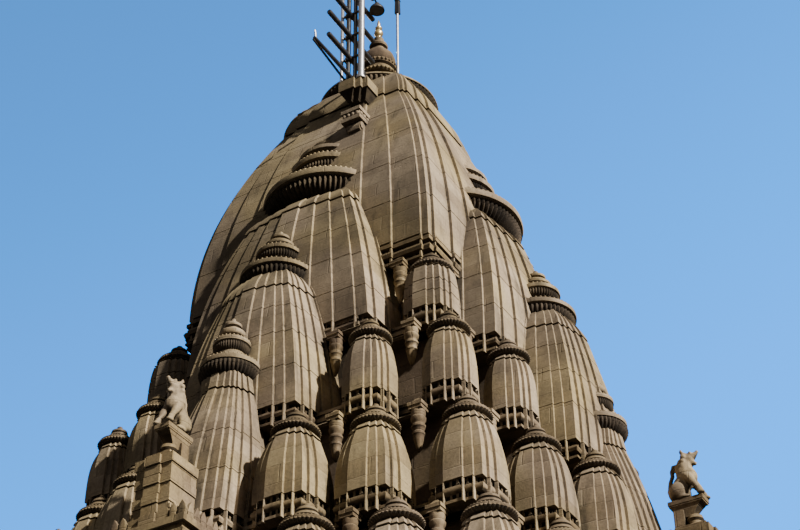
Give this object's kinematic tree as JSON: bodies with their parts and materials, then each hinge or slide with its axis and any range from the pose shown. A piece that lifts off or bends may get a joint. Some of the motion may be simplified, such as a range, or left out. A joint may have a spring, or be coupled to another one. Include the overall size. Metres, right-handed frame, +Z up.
{
  "type": "hindu temple shrine with a multi-spired stone tower",
  "caption": "Square stone sanctum with a doorway under a curved tower on which smaller spires climb in tiers to a ribbed disc and gilt finial.",
  "frame": {"origin": "centre of the tower's square plan, on the ground under the finial", "axes": "+Z up along the tower's axis, +Y out of the doorway, +X to the doorway's left as seen from outside"},
  "size_m": [12.8, 13.48, 28],
  "materials": {
    "basalt": "matte",
    "dark_basalt": "matte",
    "gilt": "satin",
    "mast_steel": "satin"
  },
  "bodies": {
    "root": {"plinth": "dark_basalt", "wall_back": "basalt", "wall_left": "basalt", "wall_right": "basalt", "wall_front_left": "basalt", "wall_front_right": "basalt", "wall_over_door": "basalt", "door_jamb_left": "dark_basalt", "door_jamb_right": "dark_basalt", "door_lintel": "dark_basalt", "upper_storey": "basalt", "tier_4_spires": "basalt", "tier_4_core": "dark_basalt", "tier_3_spires": "basalt", "tier_3_core": "dark_basalt", "tier_2_spires": "basalt", "tier_2_core": "dark_basalt", "tier_1_spires": "basalt", "tier_1_core": "dark_basalt", "shaft_base": "dark_basalt", "main_spire": "basalt", "upper_spire_back": "basalt", "upper_spire_right": "basalt", "upper_spire_front": "basalt", "upper_spire_left": "basalt", "middle_spire_back": "basalt", "middle_spire_right": "basalt", "middle_spire_front": "basalt", "middle_spire_left": "basalt", "lower_spire_back": "basalt", "lower_spire_right": "basalt", "lower_spire_front": "basalt", "lower_spire_left": "basalt", "main_amalaka": "basalt", "kalasha": "basalt", "gilt_finial": "gilt", "lion_back": "basalt", "lion_right": "basalt", "lion_front": "basalt", "lion_left": "basalt", "mast_bracket": "basalt", "mast": "mast_steel", "slim_pole": "mast_steel"}
  },
  "joints": []
}
